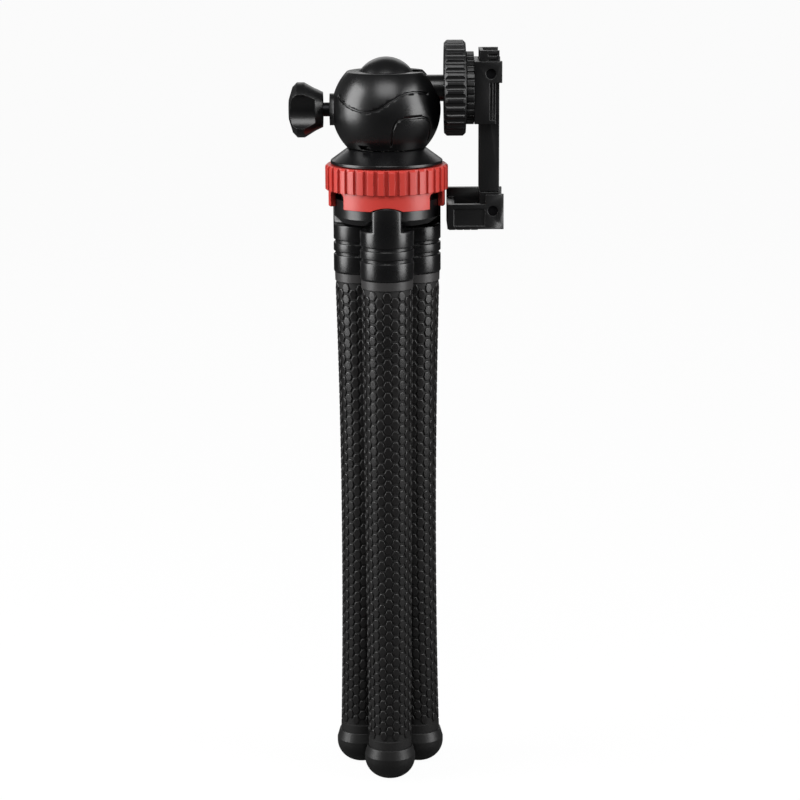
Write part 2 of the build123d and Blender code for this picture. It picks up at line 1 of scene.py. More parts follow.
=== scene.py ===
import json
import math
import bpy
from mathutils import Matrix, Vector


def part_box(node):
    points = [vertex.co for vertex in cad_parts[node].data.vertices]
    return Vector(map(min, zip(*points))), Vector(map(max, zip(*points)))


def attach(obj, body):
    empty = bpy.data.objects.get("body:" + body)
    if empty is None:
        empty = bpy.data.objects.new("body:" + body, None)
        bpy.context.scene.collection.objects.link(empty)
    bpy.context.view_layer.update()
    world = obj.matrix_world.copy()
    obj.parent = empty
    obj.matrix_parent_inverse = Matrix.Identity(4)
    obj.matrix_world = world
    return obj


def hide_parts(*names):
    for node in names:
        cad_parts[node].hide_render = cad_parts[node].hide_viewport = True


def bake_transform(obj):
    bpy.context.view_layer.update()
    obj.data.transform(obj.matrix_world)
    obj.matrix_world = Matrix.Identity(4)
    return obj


bl_info = {
    "name": "Flexible leg tripod",
    "version": (1, 0, 0),
    "blender": (4, 5, 0),
    "location": "3D View > Sidebar > Tripod",
    "description": "Finishes and soft parts of a small tripod with flexible legs",
    "category": "Object",
}

import bmesh
import bpy
from mathutils import Matrix, Vector

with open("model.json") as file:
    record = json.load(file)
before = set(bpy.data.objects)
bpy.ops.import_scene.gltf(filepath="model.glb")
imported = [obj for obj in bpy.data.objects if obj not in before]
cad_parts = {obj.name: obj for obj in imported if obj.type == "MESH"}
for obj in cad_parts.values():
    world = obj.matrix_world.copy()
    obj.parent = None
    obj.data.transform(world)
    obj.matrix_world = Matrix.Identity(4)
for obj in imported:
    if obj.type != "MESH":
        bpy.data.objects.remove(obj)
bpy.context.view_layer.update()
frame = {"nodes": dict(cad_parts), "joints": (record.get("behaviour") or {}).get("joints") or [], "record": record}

MM = 0.001
# Vertices nearer than this, in metres, are one
MERGE = 1e-6
LEGS = (1, 2, 3)
BENDS = ("upper", "middle", "lower")
JOINTS = {joint["name"]: joint for joint in frame["joints"]}
SLOTS = {part["node"]: part["material_slot"] for part in frame["record"]["subparts"]}


def linear(code):
    """Linear colour of an sRGB hex value."""
    channels = [int(code[place:place + 2], 16) / 255 for place in (1, 3, 5)]
    return [c / 12.92 if c <= 0.04045 else ((c + 0.055) / 1.055) ** 2.4 for c in channels]


def length(name, description, default):
    """A property that holds a length given in millimetres."""
    return bpy.props.FloatProperty(
        name=name, description=description, default=default * MM, min=0, unit="LENGTH", precision=5)


def colour(name, description, code):
    """A property that holds a colour given as an sRGB hex value."""
    return bpy.props.FloatVectorProperty(
        name=name, description=description, default=linear(code), size=3, min=0, max=1, subtype="COLOR")


class TripodSleeveSizes(bpy.types.PropertyGroup):
    """Sizes of the moulded pattern on the leg sleeves"""
    bump_pitch: length("Bump pitch", "Height of one hexagon bump and its groove", 4.1)
    bump_rise: length("Bump rise", "How far the bumps stand out of the sleeve", 0.42)
    bump_columns: bpy.props.IntProperty(
        name="Bump columns", description="Columns of bumps round a sleeve", default=20, min=6)
    bump_share: bpy.props.FloatProperty(
        name="Bump share", description="Share of its cell that a bump fills", default=0.81,
        subtype="FACTOR")
    top_band: length("Top band", "Plain band under the cap", 3.2)
    foot_band: length("Foot band", "Plain band above the foot", 3.2)
    bottom_radius: length("Bottom radius", "Outer radius of the sleeve at the foot", 7.95)
    reach_above: length("Reach above", "Sleeve that curves above a bend, clear of the other legs", 6.0)
    reach_below: length("Reach below", "Sleeve that curves below a bend", 20.0)


class TripodCapSizes(bpy.types.PropertyGroup):
    """Sizes of the moulded caps on the legs"""
    height: length("Height", "Height of the round part of a cap", 18.0)
    edge_round: length("Edge round", "Rounding of the cap's ends", 0.8)
    groove_width: length("Groove width", "Width of a groove round the cap", 1.2)
    groove_depth: length("Groove depth", "Depth of a groove round the cap", 0.6)
    lower_groove: length("Lower groove", "Height of the lower groove's middle", 7.3)
    upper_groove: length("Upper groove", "Height of the upper groove's middle", 11.6)
    neck_width: length("Neck width", "Width of the flat-sided neck", 10.7)
    neck_root: length("Neck root", "Rounding where the neck meets the shoulder", 1.3)
    neck_corner: length("Neck corner", "Rounding of the neck's upright corners", 0.9)
    arch_radius: length("Arch radius", "Radius of the neck's arched top", 12.45)


class TripodHeadSizes(bpy.types.PropertyGroup):
    """Sizes of the moulded lines on the head"""
    groove_width: length("Groove width", "Width of the moulded lines", 0.85)
    groove_sink: length("Groove sink", "How far a line's middle lies under the surface", 0.1)
    slot_height: length("Slot height", "Height of the slot near the flange", 3.0)
    slot_sink: length("Slot sink", "How far the slot's middle lies under the surface", 0.9)


class TripodClampSizes(bpy.types.PropertyGroup):
    """Sizes of the moulded details of the phone clamp"""
    edge_round: length("Edge round", "Rounding of the outer edges", 0.6)
    pocket_depth: length("Pocket depth", "Depth of the pockets and channels", 0.55)
    cheek_reach: length("Cheek reach", "How far the cheeks reach along the bar's side", 7.6)
    collar_height: length("Collar height", "Height of the collar at the top of the body", 7.6)
    rail_width: length("Rail width", "Width of a channel in a cheek, and of the rim beside it", 0.45)
    rail_pitch: length("Rail pitch", "From one channel to the next", 1.125)
    rail_foot: length("Rail foot", "Height of the channels' lower ends", 1.35)
    slot_height: length("Slot height", "Height of the slots near the bar's top", 0.7)
    slot_drop: length("Slot drop", "From the bar's top to its upper slot", 1.3)
    slot_pitch: length("Slot pitch", "From one slot to the next", 1.8)
    slot_left: length("Slot left", "Bar left beside a slot, on the wheel's side", 3.0)
    slot_right: length("Slot right", "Bar left beside a slot, on the far side", 0.8)
    panel_rim: length("Panel rim", "Rim left at the end of the lower jaw's panel", 2.3)
    jaw_block: length("Jaw block", "Length of the block round the lower jaw's pin", 6.7)
    jaw_lip: length("Jaw lip", "Height of the lower jaw's front wall", 9.0)


class TripodColours(bpy.types.PropertyGroup):
    """Colours of the tripod's materials"""
    gloss: colour("Glossy black", "Glossy moulded parts", "#0a0a0b")
    satin: colour("Satin black", "Textured moulded parts", "#0e0e0f")
    red: colour("Red", "Ribbed ring", "#bc3830")
    # The rubber between the bumps is painted darker than the bumps, as painted shade in the grooves of the pattern
    sleeve: colour("Sleeve", "Rubber of the sleeves between the bumps", "#0b0a0a")
    # The bumps are painted paler than the sleeve, as painted light on their raised tops; the paler patches mixed
    # into them are random dust
    bump: colour("Bump", "Rubber of the bumps, paler where hands rub it", "#100f0f")
    band: colour("Band", "Plain bands under the caps", "#333232")
    foot: colour("Foot", "Rubber of the feet", "#0c0c0c")
    steel: colour("Steel", "Zinc plated steel", "#b9bcc0")
    # Dark steel of the knob's screw; on the pins the same dark colour also stands for painted shade in their
    # recessed holes
    blackened_and_pin_shade: colour("Blackened steel", "Pins and the knob's screw", "#2a2a2c")
    wire: colour("Wire", "Soft aluminium", "#d0d2d4")
    nylon: colour("Nylon", "Moulded nylon", "#c9c7bf")
    brass: colour("Brass", "Turned brass", "#c8a55a")
    floor: colour("Floor", "Pale studio floor", "#f4f4f4")
    bounce: colour("Bounce", "Floor as it lights the tripod from below", "#4e4e4e")


def add_node(tree, kind, inputs=None, **settings):
    """Adds a node with its settings, socket values and links."""
    node = tree.nodes.new(kind)
    for name, value in settings.items():
        setattr(node, name, value)
    for name, value in (inputs or {}).items():
        if isinstance(value, bpy.types.NodeSocket):
            tree.links.new(value, node.inputs[name])
        else:
            node.inputs[name].default_value = value
    return node


def new_surface(name, base, metallic=0.0, ior=1.5, **sockets):
    """A material with one surface shader. Returns the material, its tree and the shader."""
    material = bpy.data.materials.new(name)
    material.use_nodes = True
    tree = material.node_tree
    shader = tree.nodes["Principled BSDF"]
    shader.inputs["Metallic"].default_value = metallic
    if not metallic:
        shader.inputs["IOR"].default_value = ior
    for socket, value in sockets.items():
        shader.inputs[socket.replace("_", " ")].default_value = value
    shader.inputs["Base Color"].default_value = (*base, 1)
    return material, tree, shader


# Widths in mm of the worn patches and of the dusty ones, and how much paler dust makes a bump
PATCH = 14.0
DUST = 6.0
DUST_GAIN = 1.5
ABS_IOR = 1.53
NYLON_IOR = 1.53
RUBBER_IOR = 1.52
# Part of a noise's range that holds most of its values
NOISE = {"From Min": 0.3, "From Max": 0.7}
BEVEL_SAMPLES = 6


def grain(tree, shader, size, depth, low, high, edge=0.0):
    """Grain and softened edges in the normal, in mm, and worn patches in the roughness, low to high."""
    place = add_node(tree, "ShaderNodeTexCoord").outputs["Object"]
    fine = add_node(tree, "ShaderNodeTexNoise", {"Vector": place, "Scale": 1 / (size * MM), "Detail": 3.0})
    patches = add_node(
        tree, "ShaderNodeTexNoise", {"Vector": place, "Scale": 1 / (PATCH * MM), "Detail": 4.0})
    sheen = add_node(
        tree, "ShaderNodeMapRange", {"Value": patches.outputs[0], "To Min": low, "To Max": high, **NOISE})
    tree.links.new(sheen.outputs[0], shader.inputs["Roughness"])
    inputs = {"Height": fine.outputs[0], "Distance": depth * MM, "Strength": 1.0}
    if edge:
        rounded = add_node(tree, "ShaderNodeBevel", {"Radius": edge * MM}, samples=BEVEL_SAMPLES)
        inputs["Normal"] = rounded.outputs[0]
    bump = add_node(tree, "ShaderNodeBump", inputs)
    tree.links.new(bump.outputs[0], shader.inputs["Normal"])
    return place


def mix_colours(tree, shader, share, first, second):
    """Base colour that goes from the first colour to the second as the share rises."""
    # The sockets of a mix node share their names: 0 is the factor, 6 and 7 are the colours
    tone = add_node(tree, "ShaderNodeMix", {0: share, 6: (*first, 1), 7: (*second, 1)}, data_type="RGBA")
    tree.links.new(tone.outputs[2], shader.inputs["Base Color"])


def glossy_abs(colours):
    """ABS from a polished mould: a deep black whose edges catch a thin soft highlight."""
    material, tree, shader = new_surface("glossy_abs", colours.gloss, ior=ABS_IOR)
    grain(tree, shader, 0.9, 0.006, 0.24, 0.34, edge=0.2)
    return material


def textured_abs(colours):
    """ABS from a spark-eroded mould: a fine grain, drawn as coarse as it needs to show."""
    material, tree, shader = new_surface("textured_abs", colours.satin, ior=ABS_IOR)
    grain(tree, shader, 0.35, 0.012, 0.30, 0.42, edge=0.3)
    return material


def red_abs(colours):
    """Satin red ABS: even colour, a little duller in the worn patches."""
    material, tree, shader = new_surface("red_abs", colours.red, ior=ABS_IOR)
    grain(tree, shader, 0.5, 0.010, 0.34, 0.46, edge=0.3)
    return material


def sleeve_rubber(colours):
    """Moulded rubber, dull, painted darker than the bump tops as painted shade in the grooves of its pattern."""
    material, tree, shader = new_surface("sleeve_rubber", colours.sleeve, ior=RUBBER_IOR, Specular_IOR_Level=0.4)
    grain(tree, shader, 0.28, 0.03, 0.55, 0.70)
    return material


def bump_rubber(colours):
    """The tops of the bumps: the same rubber, a little smoother, and painted paler than the grooves as painted
    light on the raised tops.
    """
    material, tree, shader = new_surface("bump_rubber", colours.bump, ior=RUBBER_IOR)
    place = grain(tree, shader, 0.28, 0.010, 0.24, 0.34)
    dust = add_node(tree, "ShaderNodeTexNoise", {"Vector": place, "Scale": 1 / (DUST * MM), "Detail": 5.0})
    dusty = [min(1, channel * DUST_GAIN) for channel in colours.bump]
    mix_colours(tree, shader, dust.outputs[0], colours.bump, dusty)
    return material


def band_rubber(colours):
    """The same rubber, smooth and a little paler, where the mould has no pattern."""
    material, tree, shader = new_surface("band_rubber", colours.band, ior=RUBBER_IOR)
    grain(tree, shader, 0.4, 0.008, 0.36, 0.46)
    return material


def foot_rubber(colours):
    """Smooth moulded rubber with a low gloss."""
    material, tree, shader = new_surface("foot_rubber", colours.foot, ior=RUBBER_IOR)
    grain(tree, shader, 0.5, 0.012, 0.36, 0.48, edge=0.3)
    return material


def zinc_steel(colours):
    """Zinc plated steel: bright grey, with a faint patchy sheen."""
    material, tree, shader = new_surface("zinc_plated_steel", colours.steel, metallic=1.0)
    grain(tree, shader, 0.3, 0.004, 0.28, 0.42)
    return material


def blackened_steel(colours):
    """Steel darkened with oil: dark, with a dull metal sheen. On the pins the dark colour also stands for painted
    shade in their recessed holes.
    """
    material, tree, shader = new_surface("blackened_steel", colours.blackened_and_pin_shade, metallic=1.0)
    grain(tree, shader, 0.3, 0.004, 0.35, 0.5)
    return material


def drawn_aluminium(colours):
    """Soft drawn aluminium wire: bare grey metal, unpolished."""
    material, tree, shader = new_surface("drawn_aluminium", colours.wire, metallic=1.0)
    grain(tree, shader, 0.3, 0.004, 0.35, 0.5)
    return material


def moulded_nylon(colours):
    """Natural nylon, cream and waxy."""
    material, tree, shader = new_surface("moulded_nylon", colours.nylon, ior=NYLON_IOR)
    grain(tree, shader, 0.5, 0.008, 0.4, 0.5)
    return material


def turned_brass(colours):
    """Turned brass: warm yellow metal with a clean sheen."""
    material, tree, shader = new_surface("turned_brass", colours.brass, metallic=1.0)
    grain(tree, shader, 0.3, 0.004, 0.25, 0.4)
    return material


FINISHES = {
    "glossy_black_plastic": glossy_abs, "matte_black_plastic": textured_abs, "red_plastic": red_abs,
    "sleeve_rubber": sleeve_rubber, "foot_rubber": foot_rubber, "plated_steel": zinc_steel,
    "soft_wire": drawn_aluminium, "blackened_steel": blackened_steel, "nylon": moulded_nylon,
    "brass_insert": turned_brass,
}
# Materials by slot, filled as they are first asked for
made = {}


def finish_of(slot):
    """The material of a slot, made once."""
    if slot not in made:
        made[slot] = FINISHES[slot](bpy.context.scene.tripod_colours)
    return made[slot]


def linked(name, data):
    """An object in the scene that holds the data."""
    result = bpy.data.objects.new(name, data)
    bpy.context.scene.collection.objects.link(result)
    return result


def give_finish(mesh, slot):
    """Gives a mesh the material of a slot, and no other."""
    mesh.materials.clear()
    mesh.materials.append(finish_of(slot))


def dress(*nodes):
    """Gives CAD nodes the materials of their slots."""
    for name in nodes:
        give_finish(frame["nodes"][name].data, SLOTS[name])


def new_piece(name, mesh, slot, *nodes):
    """A piece that stands for nodes of the CAD."""
    piece = linked(name, mesh)
    give_finish(mesh, slot)
    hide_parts(*nodes)
    return piece


def smooth(mesh, angle):
    """Smooth shading, with edges sharper than an angle kept sharp."""
    mesh.shade_smooth()
    mesh.set_sharp_from_angle(angle=math.radians(angle))


def skin_over(work, rings, finish=0):
    """A closed skin over rings of vertices, from end to end. Returns the rows of its side faces."""
    rows = [
        [work.faces.new((above[side - 1], below[side - 1], below[side], above[side]))
         for side in range(len(above))]
        for above, below in zip(rings, rings[1:])]
    ends = [work.faces.new(rings[0]), work.faces.new(reversed(rings[-1]))]
    for face in sum(rows, ends):
        face.material_index = finish
    return rows


def mesh_of(work, name):
    """A mesh with its faces turned outwards, from a work mesh that isn't needed again."""
    bmesh.ops.recalc_face_normals(work, faces=work.faces)
    mesh = bpy.data.meshes.new(name)
    work.to_mesh(mesh)
    work.free()
    return mesh


def settled(piece):
    """The mesh of an object with its modifiers or its curve worked out."""
    bpy.context.view_layer.update()
    return bpy.data.meshes.new_from_object(piece.evaluated_get(bpy.context.evaluated_depsgraph_get()))


def settle(piece):
    """Makes the modifiers of a piece final and keeps its material."""
    material = piece.data.materials[0]
    mesh = settled(piece)
    piece.modifiers.clear()
    piece.data = mesh
    mesh.materials.clear()
    mesh.materials.append(material)


def tube_cutter(name, points, radius):
    """A closed tube along points, for cutting."""
    curve = bpy.data.curves.new(name, "CURVE")
    curve.dimensions = "3D"
    curve.bevel_depth = radius
    curve.bevel_resolution = 3
    curve.use_fill_caps = True
    line = curve.splines.new("POLY")
    line.points.add(len(points) - 1)
    for knot, point in zip(line.points, points):
        knot.co = (*point, 1)
    carrier = linked(name, curve)
    mesh = settled(carrier)
    bpy.data.objects.remove(carrier)
    return mesh


def cut(piece, *meshes):
    """Cuts meshes out of a piece."""
    cutters = [linked("cutter", mesh) for mesh in meshes]
    for cutter in cutters:
        modifier = piece.modifiers.new("cut", "BOOLEAN")
        modifier.operation = "DIFFERENCE"
        modifier.solver = "EXACT"
        modifier.object = cutter
    settle(piece)
    for cutter in cutters:
        bpy.data.objects.remove(cutter)


def copy_of(node):
    """The mesh of a node, in the row frame, for a piece that stands for it."""
    source = frame["nodes"][node]
    mesh = source.data.copy()
    mesh.transform(source.matrix_world)
    return mesh


def cutting_box(low, high):
    """A box, given by two corners, for cutting."""
    work = bmesh.new()
    bmesh.ops.create_cube(work, size=1)
    for vert in work.verts:
        vert.co = Vector([low[axis] if vert.co[axis] < 0 else high[axis] for axis in range(3)])
    return mesh_of(work, "cutting_box")


# Degrees between two faces under which they count as one plane, and over which their edge is rounded
FLAT = 1
ROUNDED = 50


def softened(node, body, edge, *cutters):
    """A node's shape with pockets cut out of it and its edges rounded, in place of the node."""
    shell = new_piece(f"{node}_shell", copy_of(node), SLOTS[node], node)
    if cutters:
        cut(shell, *cutters)
    work = bmesh.new()
    work.from_mesh(shell.data)
    bmesh.ops.remove_doubles(work, verts=work.verts, dist=MERGE)
    bmesh.ops.dissolve_limit(work, angle_limit=math.radians(FLAT), verts=work.verts, edges=work.edges)
    work.to_mesh(shell.data)
    work.free()
    rounding = shell.modifiers.new("rounding", "BEVEL")
    rounding.width = edge
    rounding.segments = 3
    rounding.limit_method = "ANGLE"
    rounding.angle_limit = math.radians(ROUNDED)
    rounding.harden_normals = True
    shell.data.shade_smooth()
    settle(shell)
    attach(shell, body)


def leg_turn(number):
    """Angle of a leg round the middle, from the front one."""
    point = Vector(JOINTS[f"leg_{number}_upper_bend"]["pos_m"])
    return math.atan2(point.y, point.x) + math.pi / 2


def leg_line(number):
    """Function that gives the point at a height on the smooth curve through a leg's three bends."""
    points = [Vector(JOINTS[f"leg_{number}_{bend}_bend"]["pos_m"]) for bend in BENDS]
    outwards = Vector((points[0].x, points[0].y, 0)).normalized()
    places = [(point.z, Vector((point.x, point.y, 0)).length) for point in points]

    def point_at(height):
        reach = 0
        for z, radius in places:
            share = 1
            for other, _ in places:
                if other != z:
                    share *= (height - other) / (z - other)
            reach += share * radius
        return outwards * reach + Vector((0, 0, height))

    return point_at


class Leg:
    """Measures of one leg, from its solids, its joints and the pattern's sizes."""

    def __init__(self, number, sizes):
        # Leg 1 stands in front and leans only backwards, so its box is as wide as the sleeve
        front_low, front_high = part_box("leg_1_sleeve_1")
        self.number = number
        self.sizes = sizes
        self.point = leg_line(number)
        self.bends = [JOINTS[f"leg_{number}_{bend}_bend"] for bend in BENDS]
        self.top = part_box(f"leg_{number}_sleeve_1")[1][2]
        self.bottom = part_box(f"leg_{number}_sleeve_4")[0][2]
        self.top_radius = (front_high[0] - front_low[0]) / 2
        self.bottom_radius = sizes.bottom_radius

    def radius(self, height):
        """Radius of the sleeve over the tops of its bumps."""
        along = (self.top - height) / (self.top - self.bottom)
        return self.top_radius + (self.bottom_radius - self.top_radius) * along

    def around(self, angle, height, reach):
        """Point at an angle round the centre line and a distance from it."""
        return self.point(height) + Vector((math.cos(angle), math.sin(angle), 0)) * reach

    def surface(self, angle, height, lift):
        """Point of the sleeve, lifted from its outer radius."""
        return self.around(angle, height, self.radius(height) + lift)


# Places of the two other materials of a skin
BAND, BUMP = 1, 2
TUBE_SIDES = 60
WIRE_SIDES = 24
# Heights of a tube's rings and of the slope at the edge of a band, in mm
TUBE_STEP = 2.0
BAND_EDGE = 0.25
# Rings of a bump from its foot to its flat top: share of its half width, and share of its rise
BUMP_RINGS = ((1.04, -0.3), (1.0, 0.5), (0.95, 0.88), (0.87, 1.0), (0.78, 1.0))
BUMP_CORNERS = ((1, 0), (0.5, 1), (-0.5, 1), (-1, 0), (-0.5, -1), (0.5, -1))
# Numbers of the solids that each stretch of a leg stands for
STRETCHES = ((1, 2), (3,), (4,))
# Angles in degrees at which an edge looks sharp
SHARP_RUBBER = 45
SHARP_CAP = 40
SHARP_HEAD = 30


def tube_levels(leg, top, bottom):
    """Heights and lifts of a tube's rings, with a step at each plain band."""
    rise = leg.sizes.bump_rise
    bands = (leg.top - leg.sizes.top_band, leg.bottom + leg.sizes.foot_band)
    steps = max(2, round((top - bottom) / (TUBE_STEP * MM)))
    heights = [top + (bottom - top) * number / steps for number in range(steps + 1)]
    levels = [(height, 0.0 if height > bands[0] or height < bands[1] else -rise) for height in heights]
    for band, above, below in ((bands[0], 0.0, -rise), (bands[1], -rise, 0.0)):
        if bottom < band < top:
            levels += [(band + BAND_EDGE * MM / 2, above), (band - BAND_EDGE * MM / 2, below)]
    return sorted(levels, reverse=True)


def add_tube(work, leg, top, bottom):
    """The smooth base of a stretch of sleeve. The band under the cap has its own finish."""
    levels = tube_levels(leg, top, bottom)
    rings = [
        [work.verts.new(leg.surface(math.tau * side / TUBE_SIDES, height, lift))
         for side in range(TUBE_SIDES)]
        for height, lift in levels]
    rows = skin_over(work, rings)
    if bottom < leg.top - leg.sizes.top_band < top:
        for row, (_, above), (_, below) in zip(rows, levels, levels[1:]):
            if above == below == 0:
                for face in row:
                    face.material_index = BAND


def add_bump(work, leg, angle, height, half_angle, half_height):
    """One hexagon bump with rounded shoulders."""
    rise = leg.sizes.bump_rise
    rings = [
        [work.verts.new(leg.surface(
            angle + across * half_angle * share, height + up * half_height * share, rise * (lift - 1)))
         for across, up in BUMP_CORNERS]
        for share, lift in BUMP_RINGS]
    skin_over(work, rings, BUMP)


def add_bumps(work, leg, top, bottom):
    """The bumps whose centres lie between two heights and that clear both bands."""
    sizes = leg.sizes
    top_edge, bottom_edge = leg.top - sizes.top_band, leg.bottom + sizes.foot_band
    column_angle = math.tau / sizes.bump_columns
    # Columns interlock, so a hexagon is wider than its column
    half_angle = column_angle * 2 / 3 * sizes.bump_share
    half_height = sizes.bump_pitch / 2 * sizes.bump_share
    rows = int((top_edge - bottom_edge) / sizes.bump_pitch) + 1
    for column in range(sizes.bump_columns):
        angle = column_angle * column - math.pi / 2
        offset = sizes.bump_pitch / 2 * (column % 2)
        for row in range(rows):
            height = top_edge - sizes.bump_pitch * (row + 0.5) - offset
            if bottom <= height < top and height - half_height >= bottom_edge:
                add_bump(work, leg, angle, height, half_angle, half_height)


def add_skin(work, leg, top, bottom):
    """A stretch of sleeve with its bumps."""
    add_tube(work, leg, top, bottom)
    add_bumps(work, leg, top, bottom)


def add_wire(work, leg, top, bottom):
    """A stretch of the wire inside a leg, upright in the cap and the foot."""
    low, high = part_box("leg_1_core_1")
    radius = (high[0] - low[0]) / 2
    steps = round((top - bottom) / (TUBE_STEP * MM))
    rings = []
    for step in range(steps + 1):
        height = top + (bottom - top) * step / steps
        inside = max(leg.bottom, min(leg.top, height))
        lift = Vector((0, 0, height - inside))
        rings.append([
            work.verts.new(leg.around(math.tau * side / WIRE_SIDES, inside, radius) + lift)
            for side in range(WIRE_SIDES)])
    skin_over(work, rings)


def make_stretches(leg, name, form, slot, top, bottom, build, *more_materials):
    """Three pieces along a leg in place of the four solids of a form, each reaching across one bend."""
    upper, middle, lower = heights = [bend["pos_m"][2] for bend in leg.bends]
    ends = (top, (upper + middle) / 2, (middle + lower) / 2, bottom)
    for index, (bend, height, solids) in enumerate(zip(leg.bends, heights, STRETCHES)):
        work = bmesh.new()
        build(work, leg, ends[index], ends[index + 1])
        mesh = mesh_of(work, f"leg_{leg.number}_{name}_{index + 1}")
        finishes = [face.material_index for face in mesh.polygons]
        nodes = [f"leg_{leg.number}_{form}_{solid}" for solid in solids]
        piece = new_piece(mesh.name, mesh, slot, *nodes)
        for material in more_materials:
            mesh.materials.append(material)
        mesh.polygons.foreach_set("material_index", finishes)
        smooth(mesh, SHARP_RUBBER)
        start = leg.point(height + leg.sizes.reach_above)
        end = leg.point(height - leg.sizes.reach_below)
        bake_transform(piece)


CAP_SIDES = 120
# Rounding of the edges of a cap's grooves and of its top, in mm
LIP = 0.3
# A quarter turn in steps, for roundings
TURN = tuple(math.radians(15 * step) for step in range(7))
# Shares of the neck's width at which the rings of its arched top lie
ARCH_RINGS = (0.8, 0.5, 0.2)


def cap_profile(sizes):
    """Heights and insets of the rings of a cap's barrel."""
    end, lip = sizes.edge_round, LIP * MM
    # The walls of a groove lean in by this much
    slope = lip / 3
    rings = [(end * (1 - math.cos(turn)), end * (1 - math.sin(turn))) for turn in TURN]
    for middle in (sizes.lower_groove, sizes.upper_groove):
        low, high = middle - sizes.groove_width / 2, middle + sizes.groove_width / 2
        rings += [(low - lip * (1 - math.sin(turn)), lip * (1 - math.cos(turn))) for turn in TURN]
        rings += [(low + slope, sizes.groove_depth), (high - slope, sizes.groove_depth)]
        rings += [(high + lip * (1 - math.cos(turn)), lip * (1 - math.sin(turn))) for turn in TURN]
    top = sizes.height - end
    return rings + [(top + end * math.sin(turn), end * (1 - math.cos(turn))) for turn in TURN]


def neck_reach(angle, radius, sizes):
    """Distance of the neck's side from the leg's axis, with rounded corners."""
    # The least cosine keeps clear of dividing by zero, where the side lies along the flat
    flat = sizes.neck_width / 2 / max(abs(math.cos(angle)), 0.01)
    corner = sizes.neck_corner
    share = max(0.0, min(1.0, 0.5 + (flat - radius) / (2 * corner)))
    return flat + (radius - flat) * share - corner * share * (1 - share)


def cap_rings(sizes, radius, neck_top, angles):
    """Distances from the axis and heights of a cap's rings, from its barrel to its arched top."""
    necks = [neck_reach(angle, radius, sizes) for angle in angles]
    arch = sizes.arch_radius
    drops = [
        arch - math.sqrt(arch ** 2 - (neck * math.cos(angle)) ** 2) for neck, angle in zip(necks, angles)]
    inset, root, lip = sizes.edge_round, sizes.neck_root, LIP * MM
    rings = []
    for height, depth in cap_profile(sizes):
        if height < sizes.height - inset:
            rings.append([(radius - depth, height)] * len(angles))
        else:
            rings.append([(max(neck, radius - depth), height) for neck in necks])
    for turn in TURN:
        rings.append([
            (neck + min(max(0, radius - neck - inset), root * (1 - math.sin(turn))),
             sizes.height + root * (1 - math.cos(turn))) for neck in necks])
    for turn in TURN:
        rings.append([
            (neck - lip * (1 - math.cos(turn)), neck_top - drop - lip * (1 - math.sin(turn)))
            for neck, drop in zip(necks, drops)])
    for share in ARCH_RINGS:
        rings.append([(neck * share, neck_top - drop * share ** 2) for neck, drop in zip(necks, drops)])
    return rings


def make_cap(number, sizes):
    """A leg's cap: a grooved barrel that runs into a flat-sided neck."""
    # Made at the place of leg 1, in front, and then turned to its own leg
    low, high = (Vector(corner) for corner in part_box("leg_1_cap"))
    radius = (high.x - low.x) / 2
    place = Vector((0, low.y + radius, low.z))
    angles = [math.tau * side / CAP_SIDES for side in range(CAP_SIDES)]
    work = bmesh.new()
    skin_over(work, [
        [work.verts.new(place + Vector((math.cos(angle) * reach, math.sin(angle) * reach, height)))
         for angle, (reach, height) in zip(angles, ring)]
        for ring in cap_rings(sizes, radius, high.z - low.z, angles)])
    bmesh.ops.remove_doubles(work, verts=work.verts, dist=MERGE)
    mesh = mesh_of(work, f"leg_{number}_shell")
    mesh.transform(Matrix.Rotation(leg_turn(number), 4, "Z"))
    cap = f"leg_{number}_cap"
    shell = new_piece(mesh.name, mesh, SLOTS[cap], cap)
    cut(shell, copy_of(f"leg_{number}_core_1"), copy_of("leg_screws"))
    smooth(shell.data, SHARP_CAP)
    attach(shell, "hub")


class TRIPOD_OT_legs(bpy.types.Operator):
    """Makes the patterned sleeves, the caps and the wires, and finishes the feet"""
    bl_idname = "tripod.legs"
    bl_label = "Flexible legs"

    def execute(self, context):
        colours = context.scene.tripod_colours
        band, bump = band_rubber(colours), bump_rubber(colours)
        for number in LEGS:
            leg = Leg(number, context.scene.tripod_sleeves)
            wire_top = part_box(f"leg_{number}_core_1")[1][2]
            wire_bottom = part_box(f"leg_{number}_core_4")[0][2]
            make_stretches(
                leg, "skin", "sleeve", "sleeve_rubber", leg.top, leg.bottom, add_skin, band, bump)
            make_cap(number, context.scene.tripod_caps)
            dress(f"leg_{number}_foot")
            make_stretches(leg, "wire", "core", "soft_wire", wire_top, wire_bottom, add_wire)
        return {"FINISHED"}


class TRIPOD_OT_hub(bpy.types.Operator):
    """Finishes the hub, its ribbed ring and the flange"""
    bl_idname = "tripod.hub"
    bl_label = "Hub and ring"

    def execute(self, context):
        dress("hub_body", "ribbed_ring", "hub_flange", "leg_screws", "head_stud", "pan_washer")
        return {"FINISHED"}


# Height of the ball's centre above the foot of the housing, in mm
HEAD_DROP = 13.4
# Lines moulded in the head: degrees round it from the front, and heights from the ball's centre in mm
WAVE = (
    (-65.5, 5.6), (-52.3, 3.5), (-38.0, 1.7), (-23.3, 0.9), (-9.3, 1.8), (4.3, 4.5), (19.1, 6.8),
    (37.3, 7.5), (53.6, 6.4),
)
TAB = (
    (6.7, -11.8), (6.3, -7.6), (8.0, -4.3), (11.4, -2.3), (17.8, -1.6), (29.1, -1.5), (42.0, -1.5),
    (49.9, -2.6), (55.2, -4.9), (58.1, -7.6), (63.6, -10.7),
)
SLOT = ((-38.2, -11.8), (-23.0, -11.9))
# Steps from one of these places to the next
LINE_STEPS = 5


